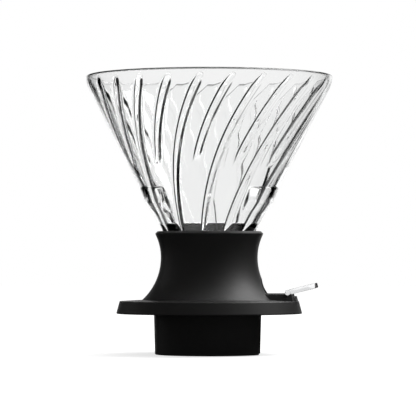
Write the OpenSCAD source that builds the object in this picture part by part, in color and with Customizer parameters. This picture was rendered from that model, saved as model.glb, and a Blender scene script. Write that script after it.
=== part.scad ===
// Coffee dripper: a ribbed glass cone in a silicone base, with a lever that lifts a ball off the drain

/* [Glass cone] */
// Overall height, from the skirt's foot to the glass rim
total_h = 133; // [122:1:150]
// Outer diameter of the glass at its rim
mouth_d = 117.6; // [106:0.2:128]
// Height of the upright band at the rim
rim_h = 3.8; // [3.2:0.1:6]
// Outer diameter of the glass where it leaves the collar
throat_d = 44; // [41:0.5:46]
// Thickness of the glass, measured level
glass_wall = 2; // [1.6:0.1:2.6]
// Height of the glass foot that stands inside the collar
glass_foot_h = 13; // [11:0.2:16]

/* [Ribs] */
// Number of long ribs, with a short rib between each two of them
rib_pairs = 12; // [8:1:14]
// Width of a rib at the rim
rib_top_w = 6.6; // [4:0.1:7]
// Width of a rib at the glass foot
rib_foot_w = 3.9; // [2.4:0.1:4.4]
// How far a rib stands off the glass wall
rib_h = 1.8; // [0.8:0.1:2.2]
// How far the rib tops reach up into the rim's upright band
rib_rise = 2.2; // [0.6:0.1:3]
// Length of the short ribs, measured down from the rib tops
short_rib_l = 41; // [20:1:50]
// Height above the collar over which the hollows between the ribs fill in
fill_h = 4.2; // [2:0.2:8]
// Turn of the ribs at the rim for each millimetre of height, in degrees
rib_turn = 0.6; // [0.3:0.01:0.7]
// How much that turn eases off with each millimetre further down, in degrees
rib_ease = 0.0032; // [0:0.0002:0.005]
// Place of the first rib's top round the rim, in degrees
rib_start = 0.6; // [-15:0.1:15]

/* [Lugs] */
// Height of the lugs' top edge above the collar
lug_rise = 21; // [16:0.5:26]
// Height of a lug
lug_h = 11.8; // [8:0.2:14]
// Height of the taper under a lug
lug_taper_h = 4.8; // [3:0.2:7]
// How far a lug stands off the glass above its taper
lug_out = 1.2; // [0.8:0.1:2.4]
// How far a lug stands off the glass at its top edge
lug_top_out = 0.4; // [0.3:0.1:1.2]
// Length of a lug round the glass, in degrees
lug_span = 106; // [60:1:130]

/* [Base] */
// Height of the collar's top
base_h = 58.4; // [56:0.2:62]
// Diameter of the skirt at its foot
skirt_d = 51.8; // [50:0.2:56]
// Height of the skirt, up to the flange's underside
skirt_h = 19.4; // [18:0.2:21]
// How much wider the skirt is at the flange
skirt_draft = 1; // [0:0.1:2]
// Largest diameter of the flange
flange_d = 88.8; // [85:0.2:100]
// Thickness of the flange's edge
flange_t = 6; // [4.5:0.1:6.8]
// How much smaller the flange is across its top edge
flange_draft = 3.3; // [1:0.1:4]
// Diameter of the waist's foot on the flange
waist_foot_d = 64; // [60:0.5:68]
// Rise of the flange's top face from its edge to the waist
flange_rise = 0.6; // [0.3:0.1:2]
// Smallest diameter of the waist
waist_d = 46.2; // [44:0.2:48]
// Depth of the waist's narrowest place below the collar's top
waist_drop = 12.2; // [9:0.2:14]
// Diameter of the collar
collar_d = 51.5; // [49:0.1:56]
// Bevel on the collar's top edge
collar_bevel = 1.1; // [0.5:0.1:1.6]
// Thickness of the skirt's wall
skirt_wall = 2.8; // [2.2:0.1:3]

/* [Valve] */
// Diameter of the ball
ball_d = 15; // [14:0.1:16]
// Half angle of the ball's conical seat
seat_angle = 40; // [37:0.5:44]
// Diameter of the drain hole
drain_d = 10; // [9:0.1:10.6]
// Height of the drain hole below its seat
drain_h = 2.6; // [1.8:0.1:3.2]
// Room between the ball and the chamber's wall
ball_side_gap = 2.1; // [1.2:0.1:2.4]
// Thickness of the chamber's wall
chamber_wall = 2.4; // [1.8:0.1:3]

/* [Lever housing] */
// Width of the housing
housing_w = 26; // [25:0.2:29]
// Height of the housing above the flange's edge
housing_h = 3.6; // [3.2:0.1:4.4]
// Thickness of the housing's side walls
housing_wall = 2.6; // [2:0.1:2.8]
// Thickness of the housing's end wall
housing_end_wall = 2.2; // [1.6:0.1:2.6]
// Step from the flange's top edge in to the housing
housing_step = 0.3; // [0.2:0.1:1.2]
// Radius of the housing's upright corners
housing_corner_r = 3; // [2:0.1:4]
// Thickness of the floor under the lever
pocket_floor = 1.5; // [1.2:0.1:1.7]
// Width of the arch through the waist
arch_w = 20; // [19:0.1:20.4]
// Height of the arch's springing above the flange's underside
arch_spring = 6.6; // [5:0.1:8]
// Width of the slot in the skirt
slot_w = 19.5; // [16:0.5:22]

/* [Lever] */
// Distance of the pivot in from the flange's largest radius
pivot_inset = 6.8; // [6:0.1:8]
// Height of the pivot above the housing's top
pivot_rise = 0.6; // [0.3:0.1:0.8]
// Reach of the paddle past the flange's largest radius
paddle_reach = 7.4; // [5:0.1:12]
// Thickness of the lever
lever_t = 2.4; // [2:0.1:2.8]
// Width of the paddle
paddle_w = 20; // [18:0.1:20.2]
// Radius of the paddle's corners
paddle_corner_r = 5; // [3:0.1:7]
// Height of the lip on the paddle's tip
lip_h = 0.3; // [0.2:0.1:1.2]
// Length of that lip
lip_l = 2; // [1:0.1:3]
// Slope of the paddle at rest, in degrees
paddle_slope = 14; // [9:0.1:16]
// Slope of the arm beside the pivot at rest, in degrees
arm_slope = 16; // [14:0.1:18]
// Length of the arm's shallow part
arm_l = 11; // [9:0.1:12]
// Width of the arm
arm_w = 15; // [12:0.1:16]
// Travel of the lever, in degrees
lever_travel = 12; // [8:0.1:13]
// Diameter of the trunnions
pin_d = 2.6; // [2.2:0.1:3]
// Outer diameter of the ring under the drain
ring_d = 16; // [14:0.1:18]
// Width of the ring and of its crossbar
ring_w = 3.2; // [2.4:0.1:3.6]
// Diameter of the post that lifts the ball
post_d = 4; // [3:0.1:4.6]

/* [Clearances] */
// Room between pieces that move apart
body_gap = 0.3; // [0.2:0.05:0.5]
// Room round the trunnions
pin_gap = 0.05; // [0.03:0.01:0.1]
// Room between the ball and its seat
seat_gap = 0.15; // [0.1:0.05:0.3]
// Room between the ring and the drain's underside when the valve is open
open_gap = 0.4; // [0.3:0.05:0.8]

/* [Hidden] */

$fn = 96;
// How far a cutting solid reaches past the face that it cuts
over = 1;
full_turn = 360;

// Heights of the base
flange_top = skirt_h + flange_t;
waist_foot_z = flange_top + flange_rise;
waist_z = base_h - waist_drop;
collar_corner_z = base_h - collar_bevel;
foot_z = base_h - glass_foot_h;
rim_z = total_h - rim_h;
housing_top = flange_top + housing_h;
pocket_z = skirt_h + pocket_floor;

// Radii of the base
flange_r = flange_d / 2;
flange_top_r = (flange_d - flange_draft) / 2;
waist_r = waist_d / 2;
waist_foot_r = waist_foot_d / 2;
collar_r = collar_d / 2;
skirt_top_r = (skirt_d + skirt_draft) / 2;
skirt_bore_r = skirt_d / 2 - skirt_wall;

// Slope of the glass below its rim, and its outer and inner radius at a height
glass_slope = (mouth_d - throat_d) / 2 / (rim_z - base_h);
function glass_out(z) = throat_d / 2 + glass_slope * (min(z, rim_z) - base_h);
function glass_in(z) = glass_out(z) - glass_wall;

// Radius of the arc that starts upright at the waist and covers dr across and dz along
function waist_arc(dr, dz) = (dr * dr + dz * dz) / (2 * dr);
lower_arc_r = waist_arc(waist_foot_r - waist_r, waist_z - waist_foot_z);
upper_arc_r = waist_arc(collar_r - waist_r, collar_corner_z - waist_z);

// The valve, from its floor upwards
ball_r = ball_d / 2;
drain_r = drain_d / 2;
chamber_r = ball_r + ball_side_gap;
chamber_out_r = chamber_r + chamber_wall;
valve_floor_z = flange_top;
seat_apex_z = valve_floor_z + drain_h - drain_r / tan(seat_angle);
ball_z = seat_apex_z + (ball_r + seat_gap) / sin(seat_angle);
seat_top_z = seat_apex_z + chamber_r / tan(seat_angle);

// The lever's pivot, and heights on the open lever measured from the pivot
pivot_x = flange_r - pivot_inset;
pivot_z = housing_top + pivot_rise;
pin_r = pin_d / 2;
post_r = post_d / 2;
ring_top = valve_floor_z - open_gap - pivot_z;
post_ball_z = (ball_z - ball_r - body_gap - post_r - pivot_z + pivot_x * sin(lever_travel)) / cos(lever_travel);
knee_x = -arm_l;
knee_z = -arm_l * tan(arm_slope - lever_travel);
arm_foot_x = chamber_out_r + open_gap - pivot_x;
tip_x = flange_r + paddle_reach - pivot_x;
paddle_l = tip_x / cos(paddle_slope);
paddle_turn = lever_travel - paddle_slope;

// Where the ribs start and end, and the height over which a rib rises from the wall
rib_top_z = rim_z + rib_rise;
short_rib_z = rib_top_z - short_rib_l;
fill_z = base_h + fill_h;
lug_top_z = base_h + lug_rise;
rib_fade = 6;

// Heights of the rings of points on the ribbed inside
ring_steps = 20;
ring_heights = concat(
    [foot_z - over, base_h],
    [for (j = [0 : ring_steps]) fill_z + (rim_z - fill_z) * j / ring_steps],
    [rib_top_z, total_h + over]
);

// Places across a rib as shares of its width, from its steep side on, and its height there as a share
rib_across = [-0.5, -0.28, -0.2, 0.1, 0.5];
rib_profile = [0, 0.4, 1, 1, 0];
rib_points = len(rib_across);
// Largest share of the room between two rib middles that a rib takes
rib_room = 0.8;

function rib_share(z, low, high) = max(0, min(1, (z - low) / rib_fade, (high - z) / rib_fade));
function rib_pitch(z) = PI * glass_in(z) / rib_pairs;
function rib_taper(z) = rib_foot_w + (rib_top_w - rib_foot_w) * (z - foot_z) / (total_h - foot_z);
function rib_width(z) = min(rib_taper(z), rib_room * rib_pitch(z));
function rib_low(i) = i % 2 == 0 ? base_h - rib_fade : short_rib_z;
function fill_share(z) = max(0, min(1, (fill_z - z) / fill_h));

// One point of the ribbed inside: rib i, place k across it, at height z
function inside_point(i, k, z) =
    let (wall_r = glass_in(z))
    let (across = rib_across[k] * rib_width(z) / wall_r * full_turn / (2 * PI))
    let (below = total_h - z)
    let (turn = rib_start + full_turn * i / (2 * rib_pairs) - (rib_turn - rib_ease * below / 2) * below + across)
    let (rise = max(rib_profile[k] * rib_share(z, rib_low(i), rib_top_z), fill_share(z)))
    let (r = wall_r - rib_h * rise)
    [r * cos(turn), r * sin(turn), z];

// The space inside the glass, with a groove in it for each rib
module glass_inside() {
    n = 2 * rib_pairs * rib_points;
    last = len(ring_heights) - 1;
    points = [
        for (z = ring_heights)
            for (i = [0 : 2 * rib_pairs - 1])
                for (k = [0 : rib_points - 1])
                    inside_point(i, k, z)
    ];
    sides = [
        for (j = [0 : last - 1])
            for (i = [0 : n - 1])
                let (a = j * n + i)
                let (b = j * n + (i + 1) % n)
                each [[a, a + n, b], [b, a + n, b + n]]
    ];
    floor_face = [for (i = [0 : n - 1]) i];
    top_face = [for (i = [n - 1 : -1 : 0]) last * n + i];
    polyhedron(points, concat(sides, [floor_face, top_face]), convexity = 10);
}

// Section of a lug, square on top and tapered below
module lug_section() {
    low = lug_top_z - lug_h;
    mid = low + lug_taper_h;
    polygon([
        [glass_out(low) - glass_wall / 2, low],
        [glass_out(low), low],
        [glass_out(mid) + lug_out, mid],
        [glass_out(lug_top_z) + lug_top_out, lug_top_z],
        [glass_out(lug_top_z) - glass_wall / 2, lug_top_z]
    ]);
}

module glass_cone() {
    color([0.8, 0.9, 0.93, 0.4])
    difference() {
        union() {
            rotate_extrude()
                polygon([
                    [0, foot_z],
                    [glass_out(foot_z), foot_z],
                    [mouth_d / 2, rim_z],
                    [mouth_d / 2, total_h],
                    [0, total_h]
                ]);
            for (side = [0, 180])
                rotate([0, 0, side - lug_span / 2])
                    rotate_extrude(angle = lug_span)
                        lug_section();
        }
        glass_inside();
    }
}

// Half section of the base's outside, with the flange's sloping top carried on under the waist
module base_section() {
    flange_slope = flange_rise / (flange_top_r - waist_foot_r);
    flange_peak = flange_top + flange_slope * (flange_top_r - waist_r);
    polygon([
        [0, 0],
        [skirt_d / 2, 0],
        [skirt_top_r, skirt_h],
        [flange_r, skirt_h],
        [flange_top_r, flange_top],
        [waist_r, flange_peak],
        [0, flange_peak]
    ]);
    difference() {
        translate([0, flange_top])
            square([flange_top_r, waist_z - flange_top]);
        translate([waist_r + lower_arc_r, waist_z])
            circle(lower_arc_r);
    }
    difference() {
        polygon([
            [0, waist_z],
            [collar_r + collar_bevel, waist_z],
            [collar_r + collar_bevel, collar_corner_z - collar_bevel],
            [collar_r - collar_bevel, base_h],
            [0, base_h]
        ]);
        translate([waist_r + upper_arc_r, waist_z])
            circle(upper_arc_r);
    }
}

// Half section of the way through the base: funnel for the glass, chamber, seat and drain
module passage_section() {
    polygon([
        [0, 0],
        [drain_r, 0],
        [drain_r, valve_floor_z + drain_h],
        [chamber_r, seat_top_z],
        [chamber_r, foot_z],
        [glass_out(foot_z) + body_gap, foot_z],
        [glass_out(base_h + over) + body_gap, base_h + over],
        [0, base_h + over]
    ]);
}

// Plan of the housing: a strip along +X with round corners at its end
module housing_plan(end_x) {
    corner_x = end_x - housing_corner_r;
    corner_y = housing_w / 2 - housing_corner_r;
    translate([waist_r, -housing_w / 2])
        square([corner_x - waist_r, housing_w]);
    translate([corner_x, -corner_y])
        square([housing_corner_r, 2 * corner_y]);
    for (side = [-1, 1])
        translate([corner_x, side * corner_y])
            circle(housing_corner_r);
}

// A solid with the given outline in X and Z, centred on the XZ plane
module across_y(width) {
    translate([0, width / 2, 0])
        rotate([90, 0, 0])
            linear_extrude(width)
                children();
}

// The block that holds the lever's trunnions, on top of the flange
module housing_block() {
    end_x = flange_top_r - housing_step;
    draft = housing_h * flange_draft / 2 / flange_t;
    intersection() {
        translate([0, 0, skirt_h])
            linear_extrude(housing_top - skirt_h)
                housing_plan(end_x);
        across_y(housing_w)
            polygon([
                [waist_r, skirt_h],
                [end_x, skirt_h],
                [end_x, flange_top],
                [end_x - draft, housing_top],
                [waist_r, housing_top]
            ]);
    }
}

// The space that the lever moves in: pocket, arch through the waist, and slot in the skirt
module lever_space() {
    pocket_w = housing_w - 2 * housing_wall;
    pocket_end = flange_top_r - housing_step - housing_end_wall;
    paddle_low = pivot_z - lever_t / 2 - body_gap;
    end_low = paddle_low - (flange_r - pivot_x) * tan(max(0, paddle_turn));
    translate([waist_foot_r, -pocket_w / 2, pocket_z])
        cube([pocket_end - waist_foot_r, pocket_w, pivot_z - pocket_z]);
    translate([waist_foot_r, -pocket_w / 2, end_low - body_gap])
        cube([flange_r - waist_foot_r, pocket_w, pivot_z - end_low]);
    translate([0, 0, skirt_h + arch_spring])
        rotate([0, 90, 0])
            cylinder(d = arch_w, h = waist_foot_r + over);
    translate([0, -arch_w / 2, pocket_z])
        cube([waist_foot_r + over, arch_w, skirt_h + arch_spring - pocket_z]);
    translate([0, -slot_w / 2, -over])
        cube([skirt_top_r + over, slot_w, skirt_h + over]);
}

module silicone_base() {
    color([0.07, 0.07, 0.07])
    difference() {
        union() {
            difference() {
                union() {
                    rotate_extrude() base_section();
                    housing_block();
                }
                translate([0, 0, -over])
                    cylinder(r = skirt_bore_r, h = valve_floor_z + over);
                lever_space();
            }
            // The chamber's wall stands whole behind the arch
            translate([0, 0, valve_floor_z])
                cylinder(r = chamber_out_r, h = foot_z - valve_floor_z);
        }
        rotate_extrude() passage_section();
        translate([pivot_x, 0, pivot_z])
            rotate([90, 0, 0])
                cylinder(r = pin_r + pin_gap, h = housing_w + 2 * over, center = true);
    }
}

// The lever as it stands when the valve is open, with its pivot at the origin
module open_lever() {
    half_t = lever_t / 2;
    ring_edge_x = (ring_d - ring_w) / 2 - pivot_x;
    intersection() {
        rotate([0, paddle_turn, 0])
            across_y(paddle_w)
                union() {
                    translate([0, -half_t])
                        square([paddle_l, lever_t]);
                    translate([paddle_l - lip_l, 0])
                        square([lip_l, half_t + lip_h]);
                }
        translate([0, 0, -paddle_l / 2])
            linear_extrude(paddle_l)
                paddle_plan();
    }
    across_y(paddle_w)
        circle(half_t);
    across_y(arm_w)
        polygon([
            [0, half_t],
            [knee_x, knee_z + half_t],
            [arm_foot_x, ring_top],
            [ring_edge_x, ring_top],
            [ring_edge_x, ring_top - lever_t],
            [arm_foot_x, ring_top - lever_t],
            [knee_x, knee_z - half_t],
            [0, -half_t]
        ]);
    rotate([90, 0, 0])
        cylinder(r = pin_r, h = housing_w - 2 * body_gap, center = true);
    translate([-pivot_x, 0, ring_top - lever_t]) {
        difference() {
            cylinder(d = ring_d, h = lever_t);
            translate([0, 0, -over])
                cylinder(d = ring_d - 2 * ring_w, h = lever_t + 2 * over);
        }
        translate([-(ring_d - ring_w) / 2, -ring_w / 2, 0])
            cube([ring_d - ring_w, ring_w, lever_t]);
    }
    translate([-pivot_x, 0, ring_top - lever_t])
        cylinder(r = post_r, h = post_ball_z - ring_top + lever_t);
    translate([-pivot_x, 0, post_ball_z])
        sphere(post_r);
}

// Plan of the paddle, with round corners at its tip
module paddle_plan() {
    corner_x = tip_x - paddle_corner_r;
    corner_y = paddle_w / 2 - paddle_corner_r;
    translate([0, -paddle_w / 2])
        square([corner_x, paddle_w]);
    translate([corner_x, -corner_y])
        square([paddle_corner_r, 2 * corner_y]);
    for (side = [-1, 1])
        translate([corner_x, side * corner_y])
            circle(paddle_corner_r);
}

module drain_lever() {
    color([0.85, 0.88, 0.9, 0.6])
    translate([pivot_x, 0, pivot_z])
        rotate([0, -lever_travel, 0])
            open_lever();
}

module valve_ball() {
    color("silver")
    translate([0, 0, ball_z])
        sphere(ball_r);
}

glass_cone();
silicone_base();
drain_lever();
valve_ball();
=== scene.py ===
import math

import bmesh
import bpy
import numpy as np
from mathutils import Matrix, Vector


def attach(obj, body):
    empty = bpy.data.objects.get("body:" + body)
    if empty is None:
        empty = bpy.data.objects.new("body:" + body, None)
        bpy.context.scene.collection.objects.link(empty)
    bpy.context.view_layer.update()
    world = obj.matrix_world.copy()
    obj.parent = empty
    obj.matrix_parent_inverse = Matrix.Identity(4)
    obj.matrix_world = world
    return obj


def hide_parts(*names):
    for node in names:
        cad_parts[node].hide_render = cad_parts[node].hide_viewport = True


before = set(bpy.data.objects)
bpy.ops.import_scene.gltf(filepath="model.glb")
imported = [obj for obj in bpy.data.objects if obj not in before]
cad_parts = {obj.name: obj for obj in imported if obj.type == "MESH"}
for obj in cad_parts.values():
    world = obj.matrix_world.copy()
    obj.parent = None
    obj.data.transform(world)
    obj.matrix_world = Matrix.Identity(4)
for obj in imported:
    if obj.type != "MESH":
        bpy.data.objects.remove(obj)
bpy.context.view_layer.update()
mm = 0.001
mergeGap = 0.002 * mm
sharpDegrees = 40
print("frame loaded:", sorted(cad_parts))


# small helpers for modelling
def clearSelection():
    if bpy.context.object and bpy.context.object.mode != "OBJECT":
        bpy.ops.object.mode_set(mode="OBJECT")
    bpy.ops.object.select_all(action="DESELECT")


def nameActive(name):
    piece = bpy.context.active_object
    piece.name = name
    piece.data.name = name
    return piece


def makeActive(piece):
    clearSelection()
    piece.select_set(True)
    bpy.context.view_layer.objects.active = piece


def pickVerts(piece, wanted):
    bpy.ops.mesh.select_all(action="DESELECT")
    shape = bmesh.from_edit_mesh(piece.data)
    for vert in shape.verts:
        vert.select_set(bool(wanted(vert.co / mm)))
    shape.select_flush(True)
    bmesh.update_edit_mesh(piece.data)


def pickEdges(piece, wanted):
    bpy.ops.mesh.select_all(action="DESELECT")
    shape = bmesh.from_edit_mesh(piece.data)
    for edge in shape.edges:
        if wanted(edge.verts[0].co / mm, edge.verts[1].co / mm):
            edge.select_set(True)
    bmesh.update_edit_mesh(piece.data)


def pickFaces(piece, wanted):
    bpy.ops.mesh.select_all(action="DESELECT")
    shape = bmesh.from_edit_mesh(piece.data)
    for face in shape.faces:
        face.select_set(bool(wanted(face.calc_center_median() / mm, face.normal)))
    bmesh.update_edit_mesh(piece.data)


def applyModifier(piece, kind, **settings):
    makeActive(piece)
    modifier = piece.modifiers.new(kind.lower(), kind)
    for key, value in settings.items():
        setattr(modifier, key, value)
    bpy.ops.object.modifier_apply(modifier=modifier.name)


def cutOrJoin(piece, tool, operation):
    applyModifier(piece, "BOOLEAN", object=tool, operation=operation, solver="EXACT")
    bpy.data.objects.remove(tool, do_unlink=True)


def closeMesh(piece):
    makeActive(piece)
    bpy.ops.object.mode_set(mode="EDIT")
    bpy.ops.mesh.select_all(action="SELECT")
    bpy.ops.mesh.remove_doubles(threshold=mergeGap)
    bpy.ops.mesh.normals_make_consistent(inside=False)
    bpy.ops.object.mode_set(mode="OBJECT")


def smoothByAngle(piece, degrees):
    makeActive(piece)
    bpy.ops.object.shade_smooth_by_angle(angle=math.radians(degrees))


# keeps large flat faces flat beside their rounded edges
def weighNormals(piece):
    applyModifier(piece, "WEIGHTED_NORMAL", mode="FACE_AREA", weight=80, keep_sharp=True)


def wearMaterial(piece, material):
    piece.data.materials.clear()
    piece.data.materials.append(material)


# a path of (radius, height, rounding) corners with each corner rounded
def roundPath(corners, steps=4):
    path = []
    count = len(corners)
    for i, (r, z, rounding) in enumerate(corners):
        here = Vector((r, z))
        if rounding == 0:
            path.append((r, z))
            continue
        before = (Vector(corners[i - 1][:2]) - here).normalized()
        after = (Vector(corners[(i + 1) % count][:2]) - here).normalized()
        half = before.angle(after) / 2
        reach = rounding / math.tan(half)
        centre = here + (before + after).normalized() * (rounding / math.sin(half))
        first = here + before * reach - centre
        last = here + after * reach - centre
        for k in range(steps + 1):
            spoke = first.lerp(last, k / steps).normalized() * rounding
            path.append(tuple(centre + spoke))
    return path


def arcPoints(centreR, centreZ, radius, startDegrees, endDegrees, steps):
    points = []
    for k in range(steps + 1):
        angle = math.radians(startDegrees + (endDegrees - startDegrees) * k / steps)
        points.append((centreR + radius * math.cos(angle), centreZ + radius * math.sin(angle)))
    return points


# draws a path in the XZ plane by extruding one vertex, then spins it about Z
def spinPath(name, path, steps, centre=(0, 0, 0)):
    clearSelection()
    bpy.ops.mesh.primitive_plane_add(size=mm)
    piece = nameActive(name)
    bpy.ops.object.mode_set(mode="EDIT")
    bpy.ops.mesh.merge(type="CENTER")
    bpy.ops.transform.translate(value=Vector(centre) * mm + Vector((path[0][0], 0, path[0][1])) * mm)
    for (r0, z0), (r1, z1) in zip(path, path[1:]):
        step = ((r1 - r0) * mm, 0, (z1 - z0) * mm)
        bpy.ops.mesh.extrude_region_move(TRANSFORM_OT_translate={"value": step})
    bpy.ops.mesh.select_all(action="SELECT")
    bpy.ops.mesh.spin(steps=steps, angle=2 * math.pi, center=Vector(centre) * mm, axis=(0, 0, 1))
    bpy.ops.object.mode_set(mode="OBJECT")
    closeMesh(piece)
    return piece


def boxPiece(name, low, high):
    clearSelection()
    centre = (Vector(low) + Vector(high)) / 2 * mm
    bpy.ops.mesh.primitive_cube_add(size=1, location=centre)
    piece = nameActive(name)
    piece.scale = (Vector(high) - Vector(low)) * mm
    bpy.ops.object.transform_apply(location=True, rotation=True, scale=True)
    return piece


def rodPiece(name, radius, low, high, axis, sides):
    clearSelection()
    turns = {"x": (0, math.pi / 2, 0), "y": (math.pi / 2, 0, 0), "z": (0, 0, 0)}
    length = (Vector(high) - Vector(low)).length
    bpy.ops.mesh.primitive_cylinder_add(
        vertices=sides, radius=radius * mm, depth=length * mm,
        location=(Vector(low) + Vector(high)) / 2 * mm, rotation=turns[axis])
    piece = nameActive(name)
    bpy.ops.object.transform_apply(location=True, rotation=True, scale=True)
    return piece


def roundEdges(piece, width, segments=2):
    applyModifier(piece, "BEVEL", width=width * mm, segments=segments, limit_method="ANGLE",
                  angle_limit=math.radians(sharpDegrees), use_clamp_overlap=True)


# node helpers
def addNode(tree, kind, **settings):
    node = tree.nodes.new(kind)
    for key, value in settings.items():
        if key in node.inputs:
            node.inputs[key].default_value = value
        else:
            setattr(node, key, value)
    return node


# gives a node's input another node's output, a colour or a number
def feed(tree, socket, value):
    if isinstance(value, bpy.types.NodeSocket):
        tree.links.new(value, socket)
    elif isinstance(value, tuple):
        socket.default_value = (*value, 1)
    else:
        socket.default_value = value


def newMaterial(name):
    material = bpy.data.materials.new(name)
    material.use_nodes = True
    tree = material.node_tree
    tree.nodes.clear()
    out = tree.nodes.new("ShaderNodeOutputMaterial")
    shader = tree.nodes.new("ShaderNodeBsdfPrincipled")
    tree.links.new(shader.outputs["BSDF"], out.inputs["Surface"])
    return material, tree, shader


# surface grain that every finish shares: broad waves, fine grain and a few specks
grainInputs = ("Wave Scale", "Grain Scale", "Speck Scale", "Speck Share")


def makeSurfaceGrain():
    group = bpy.data.node_groups.new("surfaceGrain", "ShaderNodeTree")
    face = group.interface
    for name in grainInputs:
        face.new_socket(name, in_out="INPUT", socket_type="NodeSocketFloat")
    for name in ("Wave", "Grain", "Specks"):
        face.new_socket(name, in_out="OUTPUT", socket_type="NodeSocketFloat")
    enter = group.nodes.new("NodeGroupInput")
    leave = group.nodes.new("NodeGroupOutput")
    place = group.nodes.new("ShaderNodeTexCoord")
    wave = addNode(group, "ShaderNodeTexNoise", Detail=2.0, Roughness=0.45)
    grain = addNode(group, "ShaderNodeTexNoise", Detail=3.0, Roughness=0.6)
    speck = addNode(group, "ShaderNodeTexVoronoi")
    speckMask = addNode(group, "ShaderNodeMapRange", interpolation_type="SMOOTHSTEP")
    speckMask.inputs["To Min"].default_value = 1.0
    speckMask.inputs["To Max"].default_value = 0.0
    link = group.links.new
    for texture, scale in zip((wave, grain, speck), grainInputs):
        link(place.outputs["Object"], texture.inputs["Vector"])
        link(enter.outputs[scale], texture.inputs["Scale"])
    link(speck.outputs["Distance"], speckMask.inputs["Value"])
    link(enter.outputs["Speck Share"], speckMask.inputs["From Max"])
    link(wave.outputs["Fac"], leave.inputs["Wave"])
    link(grain.outputs["Fac"], leave.inputs["Grain"])
    link(speckMask.outputs["Result"], leave.inputs["Specks"])
    return group


surfaceGrain = makeSurfaceGrain()


def addGrain(tree, settings):
    node = tree.nodes.new("ShaderNodeGroup")
    node.node_tree = surfaceGrain
    for name, value in zip(grainInputs, settings):
        node.inputs[name].default_value = value
    return node


# noise lies mostly between 0.3 and 0.7, so those are spread over the range asked for
def spread(tree, source, low, high, fromLow=0.3, fromHigh=0.7):
    node = addNode(tree, "ShaderNodeMapRange")
    node.inputs["From Min"].default_value = fromLow
    node.inputs["From Max"].default_value = fromHigh
    node.inputs["To Min"].default_value = low
    node.inputs["To Max"].default_value = high
    tree.links.new(source, node.inputs["Value"])
    return node.outputs["Result"]


# a Mix node's sockets go by place, because those of each kind share their names
def mixColours(tree, share, first, second):
    node = addNode(tree, "ShaderNodeMix", data_type="RGBA")
    for place, value in ((0, share), (6, first), (7, second)):
        feed(tree, node.inputs[place], value)
    return node.outputs[2]


def mixValues(tree, share, first, second):
    node = addNode(tree, "ShaderNodeMix", data_type="FLOAT")
    for place, value in ((0, share), (2, first), (3, second)):
        feed(tree, node.inputs[place], value)
    return node.outputs[0]


def mathNode(tree, operation, first, second):
    node = addNode(tree, "ShaderNodeMath", operation=operation)
    for socket, value in zip(node.inputs, (first, second)):
        feed(tree, socket, value)
    return node.outputs[0]


def riseOf(tree, source, low, high):
    node = addNode(tree, "ShaderNodeMapRange", interpolation_type="SMOOTHSTEP")
    node.inputs["From Min"].default_value = low
    node.inputs["From Max"].default_value = high
    tree.links.new(source, node.inputs["Value"])
    return node.outputs["Result"]


def addBump(tree, height, strength, distance):
    node = addNode(tree, "ShaderNodeBump", Strength=strength, Distance=distance)
    tree.links.new(height, node.inputs["Height"])
    return node


# each finish's grain is the scale of its waves, grain and specks, and the specks' share
# the rim's outer edge takes a near-black colour, a painted shade line
glassLook = {
    "ior": 1.47, "tint": (0.968, 0.970, 0.970), "tintDeep": (0.950, 0.953, 0.952),
    "rimPaintedShade": (0.025, 0.026, 0.026), "rimFromZ": (131.85 * mm, 132.3 * mm),
    "rimFromR": (57.75 * mm, 58.1 * mm), "grain": (70.0, 900.0, 260.0, 0.06), "waveDepth": 0.05 * mm,
    "rough": (0.0, 0.012),
}


# mask of the rim's outer edge, where a dark line of painted shade goes into the glass colour
def rimPaintedShadeMask(tree):
    place = tree.nodes.new("ShaderNodeTexCoord").outputs["Object"]
    split = tree.nodes.new("ShaderNodeSeparateXYZ")
    level = addNode(tree, "ShaderNodeVectorMath", operation="MULTIPLY")
    level.inputs[1].default_value = (1, 1, 0)
    away = addNode(tree, "ShaderNodeVectorMath", operation="LENGTH")
    tree.links.new(place, split.inputs[0])
    tree.links.new(place, level.inputs[0])
    tree.links.new(level.outputs["Vector"], away.inputs[0])
    high = riseOf(tree, split.outputs["Z"], *glassLook["rimFromZ"])
    outer = riseOf(tree, away.outputs["Value"], *glassLook["rimFromR"])
    return mathNode(tree, "MULTIPLY", high, outer)


def makeClearGlass():
    look = glassLook
    material, tree, shader = newMaterial("clearGlass")
    grain = addGrain(tree, look["grain"])
    shader.inputs["Transmission Weight"].default_value = 1.0
    shader.inputs["IOR"].default_value = look["ior"]
    body = mixColours(tree, grain.outputs["Wave"], look["tint"], look["tintDeep"])
    # painted shade: the rim's outer edge is darkened in the glass's base colour
    edged = mixColours(tree, rimPaintedShadeMask(tree), body, look["rimPaintedShade"])
    tree.links.new(edged, shader.inputs["Base Color"])
    tree.links.new(spread(tree, grain.outputs["Grain"], *look["rough"]), shader.inputs["Roughness"])
    bump = addBump(tree, grain.outputs["Wave"], 1.0, look["waveDepth"])
    tree.links.new(bump.outputs["Normal"], shader.inputs["Normal"])
    return material


siliconeLook = {
    "dark": (0.0078, 0.0075, 0.0075), "light": (0.0115, 0.0111, 0.0109), "dust": (0.03, 0.029, 0.028),
    "dustShare": 0.35, "rough": (0.46, 0.58), "grain": (55.0, 5200.0, 900.0, 0.05),
    "grainDepth": 0.012 * mm, "grainStrength": 0.6, "edgeRadius": 0.35 * mm,
}


def makeBlackSilicone():
    look = siliconeLook
    material, tree, shader = newMaterial("blackSilicone")
    grain = addGrain(tree, look["grain"])
    body = mixColours(tree, grain.outputs["Wave"], look["dark"], look["light"])
    dustMask = spread(tree, grain.outputs["Specks"], 0.0, look["dustShare"], 0.0, 1.0)
    tree.links.new(mixColours(tree, dustMask, body, look["dust"]), shader.inputs["Base Color"])
    tree.links.new(spread(tree, grain.outputs["Grain"], *look["rough"]), shader.inputs["Roughness"])
    edge = addNode(tree, "ShaderNodeBevel", samples=4, Radius=look["edgeRadius"])
    bump = addBump(tree, grain.outputs["Grain"], look["grainStrength"], look["grainDepth"])
    tree.links.new(edge.outputs["Normal"], bump.inputs["Normal"])
    tree.links.new(bump.outputs["Normal"], shader.inputs["Normal"])
    return material
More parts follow.
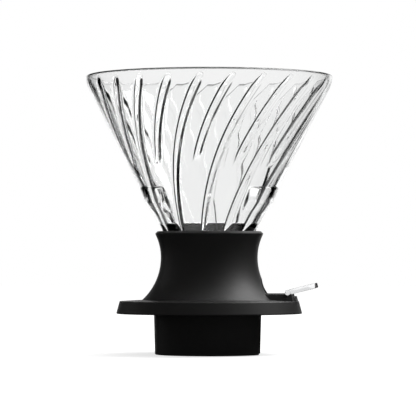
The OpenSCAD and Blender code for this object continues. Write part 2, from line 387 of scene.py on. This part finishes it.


# the end of the lever's tip is painted dark, as painted shade in the clear plastic's colour
plasticLook = {
    "ior": 1.49, "tint": (0.79, 0.795, 0.80), "tintDeep": (0.73, 0.735, 0.74),
    "tipPaintedShade": (0.012, 0.011, 0.011), "tipFromX": (50.2 * mm, 50.5 * mm),
    "grain": (180.0, 2200.0, 700.0, 0.05), "waveDepth": 0.02 * mm, "rough": (0.0, 0.05),
}


def makeClearPlastic():
    look = plasticLook
    material, tree, shader = newMaterial("clearPlastic")
    grain = addGrain(tree, look["grain"])
    shader.inputs["Transmission Weight"].default_value = 1.0
    shader.inputs["IOR"].default_value = look["ior"]
    split = tree.nodes.new("ShaderNodeSeparateXYZ")
    tree.links.new(tree.nodes.new("ShaderNodeTexCoord").outputs["Object"], split.inputs[0])
    body = mixColours(tree, grain.outputs["Wave"], look["tint"], look["tintDeep"])
    # painted shade: the end of the lever's tip is darkened in the base colour
    tipShadeMask = riseOf(tree, split.outputs["X"], *look["tipFromX"])
    tree.links.new(mixColours(tree, tipShadeMask, body, look["tipPaintedShade"]), shader.inputs["Base Color"])
    tree.links.new(spread(tree, grain.outputs["Grain"], *look["rough"]), shader.inputs["Roughness"])
    bump = addBump(tree, grain.outputs["Wave"], 1.0, look["waveDepth"])
    tree.links.new(bump.outputs["Normal"], shader.inputs["Normal"])
    return material


steelLook = {
    "bright": (0.74, 0.74, 0.75), "dull": (0.62, 0.62, 0.63), "rough": (0.06, 0.16),
    "grain": (240.0, 3000.0, 900.0, 0.04),
}


def makeBallSteel():
    look = steelLook
    material, tree, shader = newMaterial("ballSteel")
    grain = addGrain(tree, look["grain"])
    shader.inputs["Metallic"].default_value = 1.0
    body = mixColours(tree, grain.outputs["Wave"], look["bright"], look["dull"])
    tree.links.new(body, shader.inputs["Base Color"])
    tree.links.new(spread(tree, grain.outputs["Grain"], *look["rough"]), shader.inputs["Roughness"])
    return material


clearGlass = makeClearGlass()
blackSilicone = makeBlackSilicone()
clearPlastic = makeClearPlastic()
ballSteel = makeBallSteel()
print("materials made")


# glass cone: one rib sector is shaped from a grid and copied round, the outside is spun
glassCone = {
    "footZ": 45.4, "rimZ": 133.0, "throatZ": 58.4, "throatR": 22.0, "slope": 0.52, "bendZ": (126.2, 132.2),
    "wall": 2.0, "lugTopZ": 79.4, "lugMidZ": 72.4, "lugLowZ": 67.6, "lugTopOut": 0.35, "lugOut": 1.2,
    "lugHalf": 53.0, "lugEnd": 2.4,
}
# each rib has a steep side, hollowed at its foot, and a soft side that spreads over it towards the top
glassRib = {
    "pairs": 12, "height": 1.8, "topW": 6.65, "footW": 3.95, "steepDegrees": 84.0, "footRound": 1.3,
    "crestRound": 0.3, "softW": (3.3, 2.4), "topZ": 131.6, "taperL": 9.0, "fadeL": 6.5, "sweep": 0.4,
    "topSoftW": 5.5, "longFoot": (46.5, 51.0), "shortFoot": (89.0, 96.5), "fillZ": (58.4, 62.6),
    "turnMid": -20.2, "turnRate": 16.6, "turnCurve": 2.0, "turnZ": 94.3, "turnSpan": 35.0,
    "footSteps": 9, "crestSteps": 5, "softSteps": 7, "gapSteps": 3,
}
ribSteps = glassRib["footSteps"] + glassRib["crestSteps"] + glassRib["softSteps"] + glassRib["gapSteps"] - 1
pairSteps = 2 * ribSteps
ringSteps = pairSteps * glassRib["pairs"]
pairDegrees = 360 / glassRib["pairs"]
ribDegrees = pairDegrees / 2


# outer radius: a straight cone whose slope eases off to an upright rim
def glassOut(z):
    bendLow, bendHigh = glassCone["bendZ"]
    past = min(max(z - bendLow, 0), bendHigh - bendLow)
    run = min(z, bendLow) - glassCone["throatZ"] + past - past ** 2 / (2 * (bendHigh - bendLow))
    return glassCone["throatR"] + glassCone["slope"] * run


def ribTurn(z):
    t = (z - glassRib["turnZ"]) / glassRib["turnSpan"]
    return glassRib["turnMid"] + glassRib["turnRate"] * t + glassRib["turnCurve"] * t ** 2 - 90


def easeStep(value, low, high):
    t = np.clip((value - low) / (high - low), 0, 1)
    return t * t * (3 - 2 * t)


rimRound = glassCone["wall"] / 2
innerTopZ = glassCone["rimZ"] - rimRound
innerFootZ = glassCone["footZ"] + 0.5
# bands of rows on the inside, each from, to and count, closer where the ribs start, fill in or end
rowBands = [
    (innerFootZ, 51.5, 9), (52.6, 57.6, 5), (58.4, 63.4, 16), (64.4, 87.4, 20), (88.2, 97.4, 16),
    (98.6, glassRib["topZ"] - 9.6, 20), (glassRib["topZ"] - 9.0, glassRib["topZ"], 24),
    (glassRib["topZ"] + 0.15, innerTopZ, 4),
]


# the steep side of a rib: distance from its edge and height, up a hollow and over the crest's rounding
def steepSide():
    steep = math.radians(glassRib["steepDegrees"])
    low, high = glassRib["footRound"], glassRib["crestRound"]
    straight = glassRib["height"] - (low + high) * (1 - math.cos(steep))
    reach = (low + high) * math.sin(steep) + straight / math.tan(steep)
    angles = np.linspace(0, steep, glassRib["footSteps"])
    side = [(low * math.sin(a), low * (1 - math.cos(a))) for a in angles]
    angles = np.linspace(steep, 0, glassRib["crestSteps"])
    side += [(reach - high * math.sin(a), glassRib["height"] - high * (1 - math.cos(a))) for a in angles]
    return side


# distances from the rib's middle and heights of all columns of one rib and the gap after it, at one height
def ribColumns(z, pitch):
    rib = glassRib
    share = (z - glassCone["footZ"]) / (glassCone["rimZ"] - glassCone["footZ"])
    width = rib["footW"] + (rib["topW"] - rib["footW"]) * share
    taper = min(max((z - rib["topZ"]) / rib["taperL"] + 1, 0), 1)
    edge = -width / 2 + rib["sweep"] * taper ** 2.5 * width / 2
    softW = rib["softW"][0] + (rib["softW"][1] - rib["softW"][0]) * share
    softW = softW + (rib["topSoftW"] - softW) * taper ** 4
    side = steepSide()
    places = [edge + distance for distance, height in side]
    heights = [height for distance, height in side]
    places += list(np.linspace(places[-1], width / 2, rib["softSteps"] + 1)[1:])
    heights += [rib["height"]] * rib["softSteps"]
    places += list(np.linspace(width / 2, pitch + edge, rib["gapSteps"] + 1)[1:-1])
    heights += [0.0] * (rib["gapSteps"] - 1)
    fall = 1 - easeStep(np.array(places), width / 2 - softW, width / 2)
    fade = 1 - float(easeStep(z, rib["topZ"] - rib["fadeL"], rib["topZ"]))
    return np.array(places), np.array(heights) * fall * fade


def innerSectorPoints(rows):
    rib = glassRib
    points = np.zeros((len(rows), pairSteps + 1, 3))
    even = np.arange(pairSteps + 1) * pairDegrees / pairSteps
    for j, z in enumerate(rows):
        wallR = glassOut(z) - glassCone["wall"]
        places, heights = ribColumns(z, math.radians(ribDegrees) * wallR)
        angles = np.degrees(places / wallR)
        angles = np.concatenate([angles, angles + ribDegrees, angles[:1] + pairDegrees])
        longRib = heights * easeStep(z, *rib["longFoot"])
        shortRib = heights * easeStep(z, *rib["shortFoot"])
        heights = np.concatenate([longRib, shortRib, [0]])
        # columns go over to an even spacing at the rim and the foot, where they meet the outside
        loose = max(float(easeStep(z, rib["topZ"] + 0.1, innerTopZ)),
                    1 - float(easeStep(z, innerFootZ, rib["longFoot"][0])))
        angles = angles + (even + angles[0] - angles) * loose
        # the hollows between the ribs fill in towards the foot
        fill = float(np.clip((rib["fillZ"][1] - z) / (rib["fillZ"][1] - rib["fillZ"][0]), 0, 1))
        radius = wallR - np.maximum(heights, rib["height"] * fill)
        turn = np.radians(angles + ribTurn(z))
        points[j, :, 0] = radius * np.cos(turn)
        points[j, :, 1] = radius * np.sin(turn)
        points[j, :, 2] = z
    return points * mm


def makeGlassInside():
    rows = np.concatenate([np.linspace(*band) for band in rowBands])
    points = innerSectorPoints(rows)
    clearSelection()
    bpy.ops.mesh.primitive_grid_add(x_subdivisions=pairSteps, y_subdivisions=len(rows) - 1, size=1)
    sector = nameActive("ribbedGlass")
    count = len(sector.data.vertices)
    flat = np.zeros(count * 3)
    sector.data.vertices.foreach_get("co", flat)
    flat = flat.reshape(-1, 3)
    column = np.rint((flat[:, 0] + 0.5) * pairSteps).astype(int)
    row = np.rint((flat[:, 1] + 0.5) * (len(rows) - 1)).astype(int)
    sector.data.vertices.foreach_set("co", points[row, column].ravel())
    sector.data.update()
    step = 2 * math.pi / glassRib["pairs"]
    parts = [sector]
    for k in range(1, glassRib["pairs"]):
        makeActive(sector)
        bpy.ops.object.duplicate()
        copy = bpy.context.active_object
        copy.rotation_euler = (0, 0, step * k)
        bpy.ops.object.transform_apply(location=True, rotation=True, scale=True)
        parts.append(copy)
    clearSelection()
    for part in parts:
        part.select_set(True)
    bpy.context.view_layer.objects.active = sector
    bpy.ops.object.join()
    closeMesh(sector)
    return sector


def outerPath():
    sizes = glassCone
    path = arcPoints(glassOut(innerTopZ) - rimRound, innerTopZ, rimRound, 165, 0, 11)
    lugTop, lugMid, lugLow = sizes["lugTopZ"], sizes["lugMidZ"], sizes["lugLowZ"]
    foot, footR = sizes["footZ"], glassOut(sizes["footZ"])
    heights = [
        *np.linspace(131.2, 125.6, 8), *np.linspace(122.5, 83.0, 11), 81.0, 80.0,
        *(lugTop + step for step in (0.25, 0, -0.12, -0.3, -0.6, -1.2)),
        *np.linspace(lugTop - 2.2, lugMid, 4), *np.linspace(lugMid - 1, lugLow, 4),
        lugLow - 0.8, 66.0, 62.0, 58.0, 54.0, 50.0, foot + 1.2,
    ]
    path += [(glassOut(z), z) for z in heights]
    path += [(footR + 0.1, foot + 0.45), (footR - 0.3, foot + 0.1), (footR - 0.8, foot),
             (footR - sizes["wall"] + 0.6, foot)]
    return path


# pushes the outside of the cone out into its two lugs
def pushLugs(piece):
    sizes = glassCone
    count = len(piece.data.vertices)
    flat = np.zeros(count * 3)
    piece.data.vertices.foreach_get("co", flat)
    points = flat.reshape(-1, 3) / mm
    z = points[:, 2]
    fromSide = np.degrees(np.arctan2(np.abs(points[:, 1]), np.abs(points[:, 0])))
    rise = 1 - easeStep(z, sizes["lugTopZ"] - 0.6, sizes["lugTopZ"] + 0.05)
    rise = rise * np.clip((z - sizes["lugLowZ"]) / (sizes["lugMidZ"] - sizes["lugLowZ"]), 0, 1)
    ends = 1 - easeStep(fromSide, sizes["lugHalf"] - sizes["lugEnd"], sizes["lugHalf"])
    share = np.clip((sizes["lugTopZ"] - z) / (sizes["lugTopZ"] - sizes["lugMidZ"]), 0, 1)
    push = (sizes["lugTopOut"] + (sizes["lugOut"] - sizes["lugTopOut"]) * share) * rise * ends
    radius = np.hypot(points[:, 0], points[:, 1])
    grow = (radius + push) / radius
    points[:, 0] *= grow
    points[:, 1] *= grow
    piece.data.vertices.foreach_set("co", (points * mm).ravel())
    piece.data.update()


def makeGlass():
    inside = makeGlassInside()
    outside = spinPath("glassOutside", outerPath(), ringSteps)
    pushLugs(outside)
    clearSelection()
    outside.select_set(True)
    inside.select_set(True)
    bpy.context.view_layer.objects.active = inside
    bpy.ops.object.join()
    bpy.ops.object.mode_set(mode="EDIT")
    middle = (glassCone["footZ"] + glassCone["rimZ"]) / 2 * mm
    for wantTop in (True, False):
        bpy.ops.mesh.select_all(action="DESELECT")
        shape = bmesh.from_edit_mesh(inside.data)
        for edge in shape.edges:
            if edge.is_boundary and (edge.verts[0].co.z > middle) == wantTop:
                edge.select_set(True)
        bmesh.update_edit_mesh(inside.data)
        bpy.ops.mesh.bridge_edge_loops()
    bpy.ops.object.mode_set(mode="OBJECT")
    closeMesh(inside)
    smoothByAngle(inside, 50)
    wearMaterial(inside, clearGlass)
    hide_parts("glass_cone")
    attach(inside, "glass")
    return inside


ribbedGlass = makeGlass()
print("glass made:", len(ribbedGlass.data.polygons), "faces")


# silicone base: a spun body with the lever housing joined on and the lever's way cut through
baseBody = {
    "skirtR": 25.9, "skirtTopR": 26.4, "skirtH": 19.4, "flangeR": 44.4, "flangeTopR": 42.75,
    "flangeTop": 25.4, "waistFoot": (32.0, 26.0), "waistR": 23.1, "waistZ": 46.2, "lowerArcR": 27.37,
    "upperArcR": 24.57, "collar": (25.75, 57.6), "top": (24.65, 58.7), "funnelTopR": 22.46,
    "ledge": (15.54, 45.4), "chamberR": 9.6, "seatTop": 33.48, "drainR": 5.0, "seatLow": 28.0,
    "boreR": 23.1, "chamberOutR": 12.0,
}
# clearX and clearZ are how far the cutters reach, out past the housing and up past its top
baseHousing = {
    "startX": 25.0, "endX": 42.45, "topEndX": 41.46, "lowZ": 21.0, "topZ": 29.0, "halfW": 14.4,
    "topHalfW": 11.8, "corner": 0.5, "pocketX": (32.0, 40.25), "pocketHalf": 10.4, "pocketZ": 20.9,
    "sillZ": 27.8, "archHalf": 10.0, "archZ": 26.0, "archEndX": 33.0, "slotX": (15.0, 30.0),
    "slotHalf": 9.75, "slotGap": 0.02, "pinR": 1.35, "cradleHalf": 14.0, "pivot": (37.6, 0, 29.6),
    "clearX": 47.0, "clearZ": 33.0,
}


def basePath():
    b = baseBody
    lowerX, upperX = b["waistR"] + b["lowerArcR"], b["waistR"] + b["upperArcR"]
    footAngle = math.degrees(math.atan2(b["waistFoot"][1] - b["waistZ"], b["waistFoot"][0] - lowerX)) % 360
    collarAngle = math.degrees(math.atan2(b["collar"][1] - b["waistZ"], b["collar"][0] - upperX)) % 360
    lower = arcPoints(lowerX, b["waistZ"], b["lowerArcR"], footAngle, 180, 22)
    upper = arcPoints(upperX, b["waistZ"], b["upperArcR"], 180, collarAngle, 14)
    corners = [(b["skirtR"], 0, 0.5), (b["skirtTopR"], b["skirtH"], 0.5), (b["flangeR"], b["skirtH"], 0.4),
               (b["flangeTopR"], b["flangeTop"], 0.45), (*b["waistFoot"], 0.6)]
    corners += [(r, z, 0) for r, z in lower[1:] + upper[1:-1]]
    corners += [(*b["collar"], 0.25), (*b["top"], 0.3), (b["funnelTopR"], b["top"][1], 0.4),
                (*b["ledge"], 0.5), (b["chamberR"], b["ledge"][1], 0.6), (b["chamberR"], b["seatTop"], 1.0),
                (b["drainR"], b["seatLow"], 0.5), (b["drainR"], b["flangeTop"], 0.4),
                (b["boreR"], b["flangeTop"], 0.8), (b["boreR"], 0, 0.4)]
    path = roundPath(corners)
    return path + path[:1]


# a block with slanted sides, whose end follows a cone about the base's axis
def makeHousing():
    h = baseHousing
    flangeTop = baseBody["flangeTop"]
    spare = 2.0
    block = boxPiece("leverHousing", (h["startX"], -h["halfW"], h["lowZ"]),
                     (h["endX"] + spare, h["halfW"], h["topZ"]))
    bpy.ops.object.mode_set(mode="EDIT")
    pickVerts(block, lambda co: co.z > flangeTop)
    bpy.ops.transform.resize(value=(1, h["topHalfW"] / h["halfW"], 1))
    bpy.ops.object.mode_set(mode="OBJECT")
    draft = (h["endX"] - h["topEndX"]) / (h["topZ"] - flangeTop)
    ends = [(h["endX"] + draft * (flangeTop - z), z) for z in (h["lowZ"] - 1, h["topZ"] + 1)]
    rounder = spinPath("housingEnd", [(0, ends[0][1]), *ends, (0, ends[1][1])], 256)
    cutOrJoin(block, rounder, "INTERSECT")
    roundEdges(block, h["corner"], 3)
    return block


# the lever's way through the waist, kept clear of the wall round the ball's chamber
def makeArch():
    h = baseHousing
    half, endX = h["archHalf"], h["archEndX"]
    arch = rodPiece("archCutter", half, (0, 0, h["archZ"]), (endX, 0, h["archZ"]), "x", 72)
    legs = boxPiece("archLegs", (0, -half, h["pocketZ"]), (endX, half, h["archZ"]))
    cutOrJoin(arch, legs, "UNION")
    low = boxPiece("archFloor", (-1, -2 * half, 0), (endX + 7, 2 * half, h["pocketZ"]))
    cutOrJoin(arch, low, "DIFFERENCE")
    wallLowZ, wallHighZ = 10.0, 60.0
    wall = rodPiece("chamberWall", baseBody["chamberOutR"], (0, 0, wallLowZ), (0, 0, wallHighZ), "z", 96)
    cutOrJoin(arch, wall, "DIFFERENCE")
    return arch


def makeBase():
    h = baseHousing
    base = spinPath("siliconeBase", basePath(), 160)
    cutOrJoin(base, makeHousing(), "UNION")
    half = h["pocketHalf"]
    pocketStart, pocketEnd = h["pocketX"]
    slotStart, slotEnd = h["slotX"]
    cutters = [
        makeArch(),
        boxPiece("pocketCutter", (pocketStart, -half, h["pocketZ"]), (pocketEnd, half, h["clearZ"])),
        boxPiece("sillCutter", (pocketStart, -half, h["sillZ"]), (h["clearX"], half, h["clearZ"])),
        boxPiece("slotCutter", (slotStart, -h["slotHalf"], -1.0),
                 (slotEnd, h["slotHalf"], baseBody["skirtH"] - h["slotGap"])),
    ]
    for cutter in cutters:
        cutOrJoin(base, cutter, "DIFFERENCE")
    across = Vector((0, h["cradleHalf"], 0))
    pivot = Vector(h["pivot"])
    cradle = rodPiece("cradleCutter", h["pinR"], pivot - across, pivot + across, "y", 40)
    cutOrJoin(base, cradle, "DIFFERENCE")
    closeMesh(base)
    smoothByAngle(base, 35)
    weighNormals(base)
    wearMaterial(base, blackSilicone)
    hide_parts("silicone_base")
    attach(base, "base")
    return base


siliconeBase = makeBase()
print("base made:", len(siliconeBase.data.polygons), "faces")


# drain lever: modelled as it lies when pressed, with its pivot at the origin, then turned up to rest
leverSizes = {
    "pivot": baseHousing["pivot"], "travel": 12.0, "thick": 2.4, "paddleL": 14.63, "paddleHalf": 10.0,
    "corner": 5.0, "paddleTurn": -2.0, "lipL": 2.0, "lipH": 0.3, "armStart": -1.0, "armHalf": 7.5,
    "knee": (-11.0, -0.769), "armFoot": (-25.2, -5.8), "ringEdge": (-31.2, -5.8), "overlap": 0.3,
    "pinR": 1.3, "pinHalf": 12.7, "ringR": 8.0, "ringW": 3.2, "ringHalfH": 1.15, "ringRound": 0.4,
    "barHalf": (1.6, 1.1), "postR": 2.0, "postZ": 2.41, "postSink": 0.9, "edge": 0.3, "pinEdge": 0.25,
}


def makePaddle():
    s = leverSizes
    half = s["thick"] / 2
    paddle = boxPiece("clearLever", (-s["overlap"], -s["paddleHalf"], -half),
                      (s["paddleL"], s["paddleHalf"], half))
    bpy.ops.object.mode_set(mode="EDIT")
    pickEdges(paddle, lambda a, b: min(a.x, b.x) > 1 and abs(a.z - b.z) > 1)
    bpy.ops.mesh.bevel(offset=s["corner"] * mm, segments=8, affect="EDGES")
    bpy.ops.mesh.select_all(action="SELECT")
    lipStart = s["paddleL"] - s["lipL"]
    bpy.ops.mesh.bisect(plane_co=(lipStart * mm, 0, 0), plane_no=(1, 0, 0))
    pickFaces(paddle, lambda co, normal: normal.z > 0.9 and co.x > lipStart)
    bpy.ops.mesh.extrude_region_move(TRANSFORM_OT_translate={"value": (0, 0, s["lipH"] * mm)})
    bpy.ops.object.mode_set(mode="OBJECT")
    roundEdges(paddle, s["edge"])
    paddle.rotation_euler = (0, math.radians(s["paddleTurn"]), 0)
    makeActive(paddle)
    bpy.ops.object.transform_apply(location=True, rotation=True, scale=True)
    return paddle


def makeArm():
    s = leverSizes
    half = s["thick"] / 2
    arm = boxPiece("leverArm", (s["armStart"], -s["armHalf"], -half), (s["overlap"], s["armHalf"], half))
    stations = [(s["armStart"], 0.0), s["knee"], s["armFoot"], s["ringEdge"]]
    bpy.ops.object.mode_set(mode="EDIT")
    for (x0, z0), (x1, z1) in zip(stations, stations[1:]):
        pickFaces(arm, lambda co, normal: normal.x < -0.5 and abs(co.x - x0) < 0.1)
        bpy.ops.mesh.extrude_region_move(
            TRANSFORM_OT_translate={"value": ((x1 - x0) * mm, 0, (z1 - z0) * mm)})
    bpy.ops.mesh.select_all(action="SELECT")
    bpy.ops.mesh.normals_make_consistent(inside=False)
    bpy.ops.object.mode_set(mode="OBJECT")
    roundEdges(arm, s["edge"])
    return arm


def makeRing():
    s = leverSizes
    low, high = s["ringEdge"][1] - s["ringHalfH"], s["ringEdge"][1] + s["ringHalfH"]
    inner, outer = s["ringR"] - s["ringW"], s["ringR"]
    corners = [(inner, low), (outer, low), (outer, high), (inner, high)]
    path = roundPath([(*corner, s["ringRound"]) for corner in corners], 3)
    return spinPath("leverRing", path + path[:1], 72, (-s["pivot"][0], 0, 0))


def makePost():
    s = leverSizes
    dome = arcPoints(0, s["postZ"], s["postR"], 0, 90, 8)
    low = s["ringEdge"][1] - s["postSink"]
    path = [(0, low), (s["postR"], low)] + dome
    return spinPath("leverPost", path, 40, (-s["pivot"][0], 0, 0))


def makeLever():
    s = leverSizes
    lever = makePaddle()
    pin = rodPiece("leverPin", s["pinR"], (0, -s["pinHalf"], 0), (0, s["pinHalf"], 0), "y", 40)
    roundEdges(pin, s["pinEdge"])
    ringX, barZ = -s["pivot"][0], s["ringEdge"][1]
    reach = s["ringR"] - s["ringW"] / 2
    halfW, halfH = s["barHalf"]
    bar = boxPiece("leverBar", (ringX - reach, -halfW, barZ - halfH), (ringX + reach, halfW, barZ + halfH))
    roundEdges(bar, s["edge"])
    for part in (pin, makeArm(), makeRing(), bar, makePost()):
        cutOrJoin(lever, part, "UNION")
    lever.rotation_euler = (0, math.radians(-s["travel"]), 0)
    lever.location = Vector(s["pivot"]) * mm
    makeActive(lever)
    bpy.ops.object.transform_apply(location=True, rotation=True, scale=True)
    closeMesh(lever)
    smoothByAngle(lever, 35)
    weighNormals(lever)
    wearMaterial(lever, clearPlastic)
    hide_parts("drain_lever")
    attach(lever, "lever")
    return lever


clearLever = makeLever()
print("lever made:", len(clearLever.data.polygons), "faces")


# the ball's own solid is right, so it only takes its finish
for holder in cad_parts["valve_ball"].material_slots:
    holder.material = ballSteel


# studio: pale floor and white backdrop, with a white ceiling, dark sides and a dark card for the glass
studio = {
    "floorSize": 6.0, "floorTone": 0.45, "floorGlow": (0.68, 0.74), "glowFrom": (0.12, 0.9),
    "fill": 0.65, "darkSide": 0.03, "whiteBehind": (0.87, 0.95), "whiteAbove": (0.05, 0.30),
    "paleFrom": (-0.30, -0.20), "cardFrom": (0.28, 0.46), "cardTone": 0.05, "lampAim": (0, 0, 0.05),
}


# one tone for rays that were never reflected, and another for those that were
def toneIfReflected(tree, path, plain, tone):
    reflected = mathNode(tree, "GREATER_THAN", path.outputs["Glossy Depth"], 0.5)
    return mixValues(tree, reflected, plain, tone)


def makeFloor():
    clearSelection()
    bpy.ops.mesh.primitive_plane_add(size=studio["floorSize"])
    floor = nameActive("paleFloor")
    material = bpy.data.materials.new("paleFloor")
    material.use_nodes = True
    tree = material.node_tree
    tree.nodes.clear()
    out = tree.nodes.new("ShaderNodeOutputMaterial")
    path = tree.nodes.new("ShaderNodeLightPath")
    split = tree.nodes.new("ShaderNodeSeparateXYZ")
    spot = tree.nodes.new("ShaderNodeNewGeometry")
    tree.links.new(spot.outputs["Incoming"], split.inputs[0])
    onward = mathNode(tree, "MULTIPLY", split.outputs["Y"], -1)
    upward = mathNode(tree, "MULTIPLY", split.outputs["Z"], -1)
    behind = riseOf(tree, onward, *studio["whiteBehind"])
    distant = riseOf(tree, upward, *studio["paleFrom"])
    tone = toneIfReflected(tree, path, 1.0, mathNode(tree, "MULTIPLY", behind, distant))
    matt = tree.nodes.new("ShaderNodeBsdfDiffuse")
    pale = mathNode(tree, "MULTIPLY", tone, studio["floorTone"])
    tree.links.new(pale, matt.inputs["Color"])
    shown = mathNode(tree, "MAXIMUM", path.outputs["Is Camera Ray"], path.outputs["Is Glossy Ray"])
    shown = mathNode(tree, "MAXIMUM", shown, path.outputs["Is Transmission Ray"])
    glow = tree.nodes.new("ShaderNodeEmission")
    away = addNode(tree, "ShaderNodeVectorMath", operation="LENGTH")
    tree.links.new(spot.outputs["Position"], away.inputs[0])
    glowRise = spread(tree, away.outputs["Value"], *studio["floorGlow"], *studio["glowFrom"])
    glowTone = mathNode(tree, "MULTIPLY", tone, glowRise)
    tree.links.new(mathNode(tree, "MULTIPLY", shown, glowTone), glow.inputs["Strength"])
    both = tree.nodes.new("ShaderNodeAddShader")
    tree.links.new(matt.outputs[0], both.inputs[0])
    tree.links.new(glow.outputs[0], both.inputs[1])
    tree.links.new(both.outputs[0], out.inputs["Surface"])
    material.cycles.emission_sampling = "NONE"
    floor.data.materials.append(material)


def makeWorld():
    world = bpy.data.worlds.new("studioWorld")
    bpy.context.scene.world = world
    world.use_nodes = True
    world.cycles.sampling_method = "NONE"
    tree = world.node_tree
    tree.nodes.clear()
    out = tree.nodes.new("ShaderNodeOutputWorld")
    back = addNode(tree, "ShaderNodeBackground", Color=(1, 1, 1, 1))
    path = tree.nodes.new("ShaderNodeLightPath")
    split = tree.nodes.new("ShaderNodeSeparateXYZ")
    place = tree.nodes.new("ShaderNodeTexCoord")
    tree.links.new(place.outputs["Generated"], split.inputs[0])
    behind = riseOf(tree, split.outputs["Y"], *studio["whiteBehind"])
    inGlass = mathNode(tree, "GREATER_THAN", path.outputs["Transmission Depth"], 0.5)
    above = mathNode(tree, "MULTIPLY", riseOf(tree, split.outputs["Z"], *studio["whiteAbove"]), inGlass)
    white = mathNode(tree, "MAXIMUM", behind, above)
    # a dark card far to the camera's left, which the ribs' soft sides bend into view
    seen = tree.nodes.new("ShaderNodeSeparateXYZ")
    tree.links.new(place.outputs["Camera"], seen.inputs[0])
    leftward = mathNode(tree, "MULTIPLY", seen.outputs["X"], -1)
    card = mathNode(tree, "MULTIPLY", riseOf(tree, leftward, *studio["cardFrom"]), inGlass)
    plain = spread(tree, card, 1.0, studio["cardTone"], 0.0, 1.0)
    tone = toneIfReflected(tree, path, plain, mathNode(tree, "MAXIMUM", white, studio["darkSide"]))
    lit = mixValues(tree, path.outputs["Is Diffuse Ray"], tone, studio["fill"])
    tree.links.new(lit, back.inputs["Strength"])
    tree.links.new(back.outputs[0], out.inputs["Surface"])


lamps = {
    "rightSoftbox": {"from": (0.60, 0.12, 0.90), "size": (0.55, 0.8), "watts": 12.5},
    "backSoftbox": {"from": (0.30, 0.75, 0.80), "size": (0.7, 0.5), "watts": 3.0},
    "leftSoftbox": {"from": (-0.90, 0.45, 0.30), "size": (0.35, 0.7), "watts": 0.25},
}


def makeLamps():
    aim = Vector(studio["lampAim"])
    for name, lamp in lamps.items():
        light = bpy.data.lights.new(name, "AREA")
        light.shape = "RECTANGLE"
        light.size, light.size_y = lamp["size"]
        light.energy = lamp["watts"]
        holder = bpy.data.objects.new(name, light)
        holder.location = lamp["from"]
        holder.rotation_euler = (aim - Vector(lamp["from"])).to_track_quat("-Z", "Y").to_euler()
        holder.visible_camera = False
        holder.visible_transmission = False
        bpy.context.scene.collection.objects.link(holder)


cameraView = {
    "lens": 224.0, "sensor": 36.0, "near": 0.01, "distance": 1.235, "azimuth": 3.0, "height": 0.0456,
    "aim": (-0.0006, 0, 0.0698),
}


def makeCamera():
    view = cameraView
    data = bpy.data.cameras.new("photoCamera")
    data.lens = view["lens"]
    data.sensor_width = view["sensor"]
    data.clip_start = view["near"]
    camera = bpy.data.objects.new("photoCamera", data)
    turn = math.radians(view["azimuth"])
    away = view["distance"]
    camera.location = (math.sin(turn) * away, -math.cos(turn) * away, view["height"])
    look = Vector(view["aim"]) - camera.location
    camera.rotation_euler = look.to_track_quat("-Z", "Y").to_euler()
    bpy.context.scene.collection.objects.link(camera)
    bpy.context.scene.camera = camera


makeFloor()
makeWorld()
makeLamps()
makeCamera()
bpy.context.scene.view_settings.view_transform = "Standard"
print("studio set")
